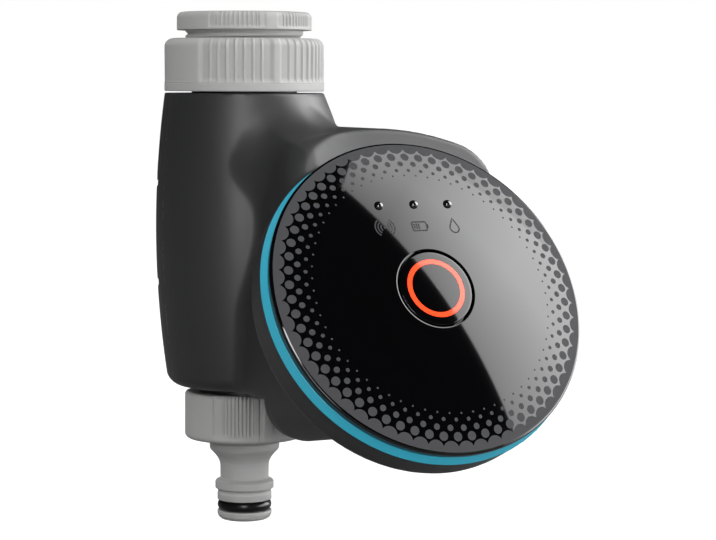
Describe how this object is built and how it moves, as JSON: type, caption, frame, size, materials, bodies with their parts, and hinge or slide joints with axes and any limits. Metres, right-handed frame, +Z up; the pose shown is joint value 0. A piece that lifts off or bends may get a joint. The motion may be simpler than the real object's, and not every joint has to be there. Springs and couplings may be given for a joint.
{
  "type": "irrigation controller",
  "caption": "Tap-mounted garden watering controller: valve barrel with threaded tap adapter and hose connector, and a round tilted control face with a push button.",
  "frame": {"origin": "centre of the mouth of the tap adapter's thread, at the adapter's top face", "axes": "+Z up along the valve axis, out of the tap adapter; -Y to the front, where the control face is; +X to the right seen from the front"},
  "size_m": [0.0924, 0.1169, 0.1444],
  "materials": {
    "dark_shell": "satin",
    "grey_plastic": "satin",
    "black_gloss": "polished",
    "blue_accent": "satin",
    "orange_light": "satin",
    "clear_light": "polished",
    "inner_plastic": "matte",
    "white_plastic": "satin",
    "rubber": "matte",
    "steel": "satin",
    "copper_winding": "satin",
    "board_green": "satin",
    "chip_black": "matte",
    "filter_mesh": "matte",
    "battery_jacket": "satin"
  },
  "bodies": {
    "housing": {"main_housing": "dark_shell", "rear_cover": "dark_shell", "cover_screws": "steel", "battery_cradle": "inner_plastic", "battery_cells": "battery_jacket", "battery_contacts": "steel", "valve_body": "white_plastic", "valve_bonnet": "inner_plastic", "bonnet_screws": "steel", "diaphragm_spring": "steel", "solenoid_yoke": "steel", "solenoid_coil": "copper_winding", "solenoid_core": "steel", "guide_tube": "steel", "plunger_spring": "steel", "inlet_filter": "filter_mesh", "inlet_washer": "rubber", "nut_clip": "steel", "inlet_seal": "rubber", "outlet_seal": "rubber", "accent_ring": "blue_accent", "front_bezel": "black_gloss", "face_plate": "black_gloss", "unit_seal": "rubber", "status_lights": "clear_light", "indicator_leds": "white_plastic", "button_spring": "steel", "button_switch": "chip_black", "circuit_board": "board_green", "board_screws": "steel", "radio_and_chips": "chip_black", "unit_back_cover": "inner_plastic"},
    "nut": {"union_nut": "grey_plastic"},
    "adapter": {"tap_adapter": "grey_plastic", "adapter_washer": "rubber"},
    "door": {"battery_cover": "dark_shell", "battery_cover_seal": "rubber"},
    "valve_disc": {"diaphragm": "rubber"},
    "pilot": {"plunger": "steel", "plunger_seal": "rubber"},
    "connector_seat": {"connector_washer": "rubber"},
    "connector": {"hose_connector": "grey_plastic", "connector_o_ring": "rubber"},
    "button": {"push_button": "black_gloss", "button_light_ring": "orange_light", "switch_cap": "white_plastic"}
  },
  "joints": [
    {"name": "union_nut_turn", "type": "hinge", "parent": "housing", "child": "nut", "pos_m": [0, 0, -0.015], "axis": [0, 0, -1], "range_deg": [0, 1080]},
    {"name": "adapter_rise", "type": "slide", "parent": "housing", "child": "adapter", "axis": [0, 0, 1], "range_m": [0, 0.007]},
    {"name": "connector_drop", "type": "slide", "parent": "housing", "child": "connector_seat", "axis": [0, 0, -1], "range_m": [0, 0.01]},
    {"name": "connector_turn", "type": "hinge", "parent": "connector_seat", "child": "connector", "pos_m": [0, 0, -0.115], "axis": [0, 0, -1], "range_deg": [0, 1980]},
    {"name": "battery_cover_pull", "type": "slide", "parent": "housing", "child": "door", "axis": [1, 0, 0], "range_m": [0, 0.02]},
    {"name": "plunger_lift", "type": "slide", "parent": "housing", "child": "pilot", "axis": [0, -1, 0], "range_m": [0, 0.0015], "stiffness_N_per_m": 150, "springref_m": -0.003, "deforming": ["plunger_spring"]},
    {"name": "diaphragm_lift", "type": "slide", "parent": "housing", "child": "valve_disc", "axis": [0, -1, 0], "range_m": [0, 0.0025], "stiffness_N_per_m": 150, "springref_m": -0.003, "deforming": ["diaphragm_spring"]},
    {"name": "button_press", "type": "slide", "parent": "housing", "child": "button", "axis": [0, 0.878, -0.4787], "range_m": [0, 0.0005], "stiffness_N_per_m": 400, "springref_m": -0.002, "deforming": ["button_spring"]}
  ],
  "couplings": [
    {"joint": "adapter_rise", "follows": "union_nut_turn", "m_per_rad": 0.00036749},
    {"joint": "connector_drop", "follows": "connector_turn", "m_per_rad": 0.00028871},
    {"joint": "diaphragm_lift", "follows": "plunger_lift", "ratio": 1.6667}
  ]
}
